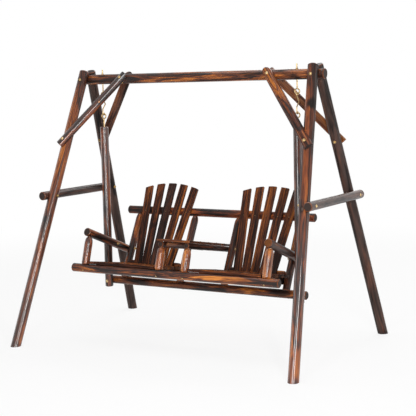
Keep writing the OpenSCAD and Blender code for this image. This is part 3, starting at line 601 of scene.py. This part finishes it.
# Slopes of the CAD's seats, table and backs, and with them each board's length and thickness
SEAT_SLOPE, TABLE_SLOPE, BACK_TILT = (math.radians(a) for a in (9.5, 10.3, 28))
seat_up = (0, math.sin(SEAT_SLOPE), math.cos(SEAT_SLOPE))
seat_back = (0, math.cos(SEAT_SLOPE), -math.sin(SEAT_SLOPE))
table_up = (0, math.sin(TABLE_SLOPE), math.cos(TABLE_SLOPE))
table_back = (0, math.cos(TABLE_SLOPE), -math.sin(TABLE_SLOPE))
back_face = (0, math.cos(BACK_TILT), -math.sin(BACK_TILT))
SLAT_AXES = (None, back_face)
SEAT_AXES = ((1, 0, 0), seat_up)
BEARER_AXES = (seat_back, seat_up)
TABLE_AXES = ((1, 0, 0), table_up)

# How a CAD mesh is made ready to be shaped: corners this near are one, faces this flat are one
MERGE_WITHIN, FLAT_WITHIN = 0.00002, math.radians(1)
EASED_FROM, EASE_STEPS = math.radians(40), 3
SMOOTH_UP_TO = math.radians(35)
# The noise seldom comes near its limits, so it is raised by this
NOISE_GAIN = 1.6


def only(piece):
    """Selects one piece alone and makes it active."""
    bpy.ops.object.select_all(action="DESELECT")
    piece.select_set(True)
    bpy.context.view_layer.objects.active = piece


def shaped(node, middle, turn, reach, step, ease):
    """A merged copy of a CAD node, cut into short lengths along it so that its surface can wander."""
    piece = bpy.data.objects.new(node + "_surface", nodes[node].data.copy())
    bpy.context.scene.collection.objects.link(piece)
    only(piece)
    bpy.ops.mesh.customdata_custom_splitnormals_clear()
    bpy.ops.object.mode_set(mode="EDIT")
    bpy.ops.mesh.select_all(action="SELECT")
    bpy.ops.mesh.remove_doubles(threshold=MERGE_WITHIN)
    bpy.ops.mesh.dissolve_limited(angle_limit=FLAT_WITHIN)
    bpy.ops.object.mode_set(mode="OBJECT")
    if ease:
        bevel = piece.modifiers.new("eased_edges", "BEVEL")
        bevel.width = ease
        bevel.segments = EASE_STEPS
        bevel.limit_method = "ANGLE"
        bevel.angle_limit = EASED_FROM
        bpy.ops.object.modifier_apply(modifier=bevel.name)
    bpy.ops.object.mode_set(mode="EDIT")
    axis = turn.col[2]
    count = int(2 * reach / step)
    for k in range(1, count):
        bpy.ops.mesh.select_all(action="SELECT")
        place = middle + axis * (reach * (2 * k / count - 1))
        bpy.ops.mesh.bisect(plane_co=place, plane_no=axis)
    bpy.ops.object.mode_set(mode="OBJECT")
    return piece


def wander(piece, turn, seed, drifts, spread, face):
    """Moves the surface by drifts, each a depth inwards, a width across and a length along the piece.

    spread lets the long edges stand out again; with face, only what looks that way moves.
    """
    back = turn.transposed()
    moved = []
    for corner in piece.data.vertices:
        spot = back @ corner.co
        sink = 0.0
        for depth, across, along in drifts:
            value = noise.noise(
                Vector((spot.x / across, spot.y / across, spot.z / along)) + seed
            )
            sink += depth * (0.5 + 0.5 * max(-1, min(1, value * NOISE_GAIN)))
        if face:
            sink *= max(0.0, corner.normal.dot(Vector(face)))
        outward = turn.col[0] * (spread * turn.col[0].dot(corner.normal))
        moved.append(corner.co - corner.normal * sink + outward)
    for corner, place in zip(piece.data.vertices, moved):
        corner.co = place


surfaces = {}


def dressed(node, step, seed, drifts, axes=(), ease=0.0, spread=0.0, face=None):
    """Puts a copy of a node, with a wandering surface, in the node's place."""
    middle, turn, reach = lie(node, *axes)
    piece = shaped(node, middle, turn, reach, step, ease)
    wander(piece, turn, Vector(seed), drifts, spread, face)
    only(piece)
    bpy.ops.object.shade_smooth_by_angle(angle=SMOOTH_UP_TO)
    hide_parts(node)
    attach(piece, nodes[node]["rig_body"])
    surfaces[node] = piece
    return piece


# Drifts of the surfaces: depth inwards, width across and length along the piece, in metres
LOG_DRIFTS = ((0.0011, 0.05, 0.22), (0.0004, 0.018, 0.07))
SLAT_DRIFTS = ((0.0010, 0.03, 0.09), (0.0007, 0.012, 0.02))
SEAT_DRIFTS = ((0.0045, 0.045, 0.040), (0.0016, 0.012, 0.014))
TABLE_DRIFTS = ((0.0014, 0.04, 0.06), (0.0006, 0.012, 0.02))
# Lengths that the surfaces are cut into, and how far their edges are eased and stand out
LOG_STEP, SLAT_STEP, SEAT_STEP, TABLE_STEP = 0.03, 0.012, 0.008, 0.01
SLAT_EASE, SEAT_EASE, TABLE_EASE = 0.0018, 0.0012, 0.0025
SLAT_SPREAD = 0.0016
# Places of the surfaces in the noise: logs and slats, one after another, stand a step apart in it
LOG_PLACE_STEP, LOG_PLACE = 3.7, (1.3, 5.1)
SLAT_PLACE_STEP, SLAT_PLACE = 2.9, (7.7, 3.3)
SEAT_PLACE, TABLE_PLACE = (3.1, 9.2, 4.4), (8.1, 2.2, 6.4)

for number, (node, look) in enumerate(LOGS.items()):
    log = dressed(node, LOG_STEP, (number * LOG_PLACE_STEP, *LOG_PLACE), LOG_DRIFTS)
    log_finish(f"scorched_{node}", node, **look).on(log)

for number, (node, look) in enumerate(SLATS.items()):
    slat = dressed(
        node,
        SLAT_STEP,
        (number * SLAT_PLACE_STEP, *SLAT_PLACE),
        SLAT_DRIFTS,
        SLAT_AXES,
        ease=SLAT_EASE,
        spread=SLAT_SPREAD,
    )
    board_finish(f"scorched_{node}", node, SLAT_AXES, **look).on(slat)

for side in ("left", "right"):
    node = f"seat_boards_{side}"
    seat = dressed(
        node,
        SEAT_STEP,
        SEAT_PLACE,
        SEAT_DRIFTS,
        SEAT_AXES,
        ease=SEAT_EASE,
        face=seat_up,
    )
    look = dict(glow=SEAT_GLOW[side], gloss=0.02)
    board_finish(f"scorched_seat_{side}", node, SEAT_AXES, **look).on(seat)
    node = f"seat_bearers_{side}"
    board_finish(f"scorched_bearers_{side}", node, BEARER_AXES, glow=-0.04).on(nodes[node])

table = dressed(
    "table_boards",
    TABLE_STEP,
    TABLE_PLACE,
    TABLE_DRIFTS,
    TABLE_AXES,
    ease=TABLE_EASE,
)
board_finish("scorched_table", "table_boards", TABLE_AXES, glow=0.10, gloss=0.4).on(table)

zinc = zinc_finish("yellow_zinc")
varnished_zinc = zinc_finish("varnished_zinc", UNDER_VARNISH)
for node, piece in nodes.items():
    if node.endswith(("_bolts", "_nuts")) or "eye" in node or "hook" in node:
        zinc.on(piece)

# A screw's pan head and its cross recess, in metres. Lift is a middle's height over the seat, and the
# recess's floor is a share of its mouth
HEAD_SIDES, HEAD_RADIUS, HEAD_DEPTH, HEAD_LIFT = 24, 0.0045, 0.0034, 0.0005
DOME_WIDTH, DOME_STEPS = 0.0013, 3
RECESS_SIZE, RECESS_LIFT, RECESS_FLOOR = (0.0056, 0.0013, 0.0016), 0.0018, 0.7
# Sizes of the screws as shares of that head, and how far each is turned from the one before
SMALL_SCREW, RAIL_SCREW = 0.75, 1.1
SCREW_TURN = 1.1
# The search for a screw's place on a surface starts this far off
START_OFF = 0.1


def screw_head():
    """One pan head with a cross recess, 9 mm wide, its seat at the origin and its top towards +Z."""
    bpy.ops.object.select_all(action="DESELECT")
    bpy.ops.mesh.primitive_cylinder_add(
        vertices=HEAD_SIDES, radius=HEAD_RADIUS, depth=HEAD_DEPTH, location=(0, 0, HEAD_LIFT)
    )
    head = bpy.context.object
    head.name = "screw_head"
    bpy.ops.object.transform_apply(location=True, rotation=True, scale=True)
    dome = head.modifiers.new("dome", "BEVEL")
    dome.width, dome.segments, dome.limit_method = DOME_WIDTH, DOME_STEPS, "ANGLE"
    bpy.ops.object.modifier_apply(modifier=dome.name)
    bpy.ops.object.select_all(action="DESELECT")
    bpy.ops.mesh.primitive_cube_add(size=1, location=(0, 0, RECESS_LIFT))
    cross = bpy.context.object
    cross.scale = RECESS_SIZE
    bpy.ops.object.transform_apply(location=True, rotation=True, scale=True)
    bpy.ops.object.mode_set(mode="EDIT")
    bpy.ops.mesh.select_mode(type="FACE")
    bpy.ops.mesh.select_all(action="DESELECT")
    bpy.ops.object.mode_set(mode="OBJECT")
    for face in cross.data.polygons:
        face.select = face.normal.z < -NEARLY_PARALLEL
    bpy.ops.object.mode_set(mode="EDIT")
    bpy.ops.transform.resize(value=(RECESS_FLOOR, RECESS_FLOOR, 1))
    bpy.ops.object.mode_set(mode="OBJECT")
    for _ in range(2):
        cut = head.modifiers.new("recess", "BOOLEAN")
        cut.operation, cut.object, cut.solver = "DIFFERENCE", cross, "EXACT"
        only(head)
        bpy.ops.object.modifier_apply(modifier=cut.name)
        cross.data.transform(Matrix.Rotation(math.pi / 2, 4, "Z"))
    bpy.data.objects.remove(cross)
    only(head)
    bpy.ops.object.shade_smooth_by_angle(angle=SMOOTH_UP_TO)
    return head


pattern = screw_head()
screw_numbers = itertools.count(1)


def screw(carrier, start, towards, size=SMALL_SCREW, finish=varnished_zinc):
    """A copy of the screw head where a line from start meets the surface that carries it."""
    towards = Vector(towards).normalized()
    met, spot, _, _ = carrier.ray_cast(Vector(start), towards)
    if not met:
        raise ValueError(f"no surface for a screw on {carrier.name} from {tuple(start)}")
    number = next(screw_numbers)
    turned = Matrix.Rotation(number * SCREW_TURN, 4, "Z")
    seat = (-towards).to_track_quat("Z", "X").to_matrix().to_4x4()
    head = bpy.data.objects.new(f"screw_{number:02d}", pattern.data.copy())
    head.data.transform(Matrix.Translation(spot) @ seat @ turned @ Matrix.Scale(size, 4))
    bpy.context.scene.collection.objects.link(head)
    finish.on(head)
    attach(head, "bench")


def centre(node):
    low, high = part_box(node)
    return (low + high) / 2


def board_middles(node, across, up, count):
    """Places over the middles of a node's boards, from its front to its back."""
    places = [corner.co.dot(Vector(across)) for corner in nodes[node].data.vertices]
    start, end = min(places), max(places)
    step = (end - start) / count
    middle = centre(node)
    here = middle.dot(Vector(across))
    return [
        middle + Vector(across) * (start + step * (k + 0.5) - here) + Vector(up) * START_OFF
        for k in range(count)
    ]


# The slats are screwed to the back rail and to the seat's rear rail
for node in SLATS:
    middle, turn, _ = lie(node, *SLAT_AXES)
    side = "left" if "left" in node else "right"
    for rail in ("back_rail", f"seat_rear_rail_{side}"):
        level_of_rail = (centre(rail).z - middle.z) / turn.col[2].z
        spot = middle + turn.col[2] * level_of_rail
        screw(surfaces[node], spot - Vector(back_face) * START_OFF, back_face)

# The seat boards are screwed to their two bearers, the table boards to the table's side rails
SEAT_BOARDS, TABLE_BOARDS = 5, 6
BEARER_SCREW_INSET = 0.02
for side in ("left", "right"):
    node = f"seat_boards_{side}"
    low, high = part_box(f"seat_bearers_{side}")
    for spot in board_middles(node, seat_back, seat_up, SEAT_BOARDS):
        for x in (low.x + BEARER_SCREW_INSET, high.x - BEARER_SCREW_INSET):
            screw(surfaces[node], (x, spot.y, spot.z), -Vector(seat_up))
for spot in board_middles("table_boards", table_back, table_up, TABLE_BOARDS):
    for side in ("left", "right"):
        rail = centre(f"table_side_rail_{side}")
        screw(surfaces["table_boards"], (rail.x, spot.y, spot.z), -Vector(table_up))

# Screws that rise at a slant through the front rail hold the arm posts and the table posts
SCREW_SLANT = math.radians(26)
rail = centre("front_rail")
into = Vector((0, math.cos(SCREW_SLANT), math.sin(SCREW_SLANT)))
for post in ("arm_post_left", "table_post_left", "table_post_right", "arm_post_right"):
    spot = Vector((centre(post).x, rail.y, rail.z)) - into * START_OFF
    screw(surfaces["front_rail"], spot, into, RAIL_SCREW, zinc)
bpy.data.objects.remove(pattern)


# Plain pale floor and soft studio light. Near the object a share of the floor's colour takes shadows, and
# the rest is plain white
FLOOR_SIZE, FLOOR_GREY = 120, 0.86
FLOOR_NEAR, FLOOR_FAR = 1.8, 6.0
FLOOR_KEEPS_SHADOW = 0.16
WORLD_LIGHT = 0.24

# Name, place, what it points at, width and height, and watts of each lamp
LAMPS = (
    ("front_right_strip", (3.3, -3.6, 1.40), (0, 0, 1.30), (0.28, 2.7), 125),
    ("front_left_wall", (1.2, -4.9, 1.40), (0, 0, 1.30), (0.75, 2.7), 95),
    ("overhead", (0, -0.2, 4.4), (0, 0, 0.6), (3.2, 2.2), 60),
    ("side_left_strip", (-4.4, -1.2, 1.8), (0, 0, 1.0), (0.9, 3.0), 25),
    ("back_overhead", (0, 3.4, 3.6), (0, 0, 0.8), (3.2, 1.4), 80),
    ("side_right_strip", (4.6, 1.6, 1.9), (0, 0, 1.0), (0.9, 3.0), 30),
)


def seen_ray(tree):
    """1 for a ray from the camera, a mirroring surface or glass, and 0 for one that only brings light."""
    path = tree.nodes.new("ShaderNodeLightPath")
    seen = path.outputs["Is Camera Ray"]
    for ray in ("Is Glossy Ray", "Is Transmission Ray"):
        either = tree.nodes.new("ShaderNodeMath")
        either.operation = "MAXIMUM"
        tree.links.new(seen, either.inputs[0])
        tree.links.new(path.outputs[ray], either.inputs[1])
        seen = either.outputs[0]
    return seen


def plain_floor():
    """Pale floor that keeps the soft shadow near the object and turns plain white farther out."""
    bpy.ops.object.select_all(action="DESELECT")
    bpy.ops.mesh.primitive_plane_add(size=FLOOR_SIZE, location=(0, 0, 0))
    floor = bpy.context.object
    floor.name = "floor"
    f = Finish("pale_floor")
    f.paint(Base_Color=(FLOOR_GREY,) * 3, Roughness=0.9, Specular_IOR_Level=0.0)
    white = f.node("ShaderNodeEmission", {}, Color=(1, 1, 1, 1), Strength=1.0)
    place = f.node("ShaderNodeTexCoord", {}, out="Object")
    away = f.node("ShaderNodeVectorMath", {"operation": "LENGTH"}, place, out="Value")
    share = away.rise(FLOOR_NEAR, FLOOR_FAR) * FLOOR_KEEPS_SHADOW + (1 - FLOOR_KEEPS_SHADOW)
    both = f.node("ShaderNodeMixShader", {}, share * Wire(f, seen_ray(f.tree)))
    output = next(n for n in f.tree.nodes if n.type == "OUTPUT_MATERIAL")
    f.tree.links.new(f.surface.outputs[0], both.socket.node.inputs[1])
    f.tree.links.new(white.socket, both.socket.node.inputs[2])
    f.tree.links.new(both.socket, output.inputs[0])
    f.on(floor)


def soft_light(name, place, aim, size, power):
    data = bpy.data.lights.new(name, "AREA")
    data.shape = "RECTANGLE"
    data.size, data.size_y = size
    data.energy = power
    lamp = bpy.data.objects.new(name, data)
    lamp.location = place
    lamp.rotation_euler = (Vector(aim) - Vector(place)).to_track_quat("-Z", "Y").to_euler()
    lamp.visible_camera = False
    bpy.context.scene.collection.objects.link(lamp)


plain_floor()
for lamp in LAMPS:
    soft_light(*lamp)

world = bpy.data.worlds.new("studio")
bpy.context.scene.world = world
world.use_nodes = True
tree = world.node_tree
background = next(n for n in tree.nodes if n.type == "BACKGROUND")
background.inputs["Color"].default_value = (1, 1, 1, 1)
strength = tree.nodes.new("ShaderNodeMapRange")
strength.inputs["To Min"].default_value = WORLD_LIGHT
strength.inputs["To Max"].default_value = 1.0
tree.links.new(seen_ray(tree), strength.inputs["Value"])
tree.links.new(strength.outputs[0], background.inputs["Strength"])
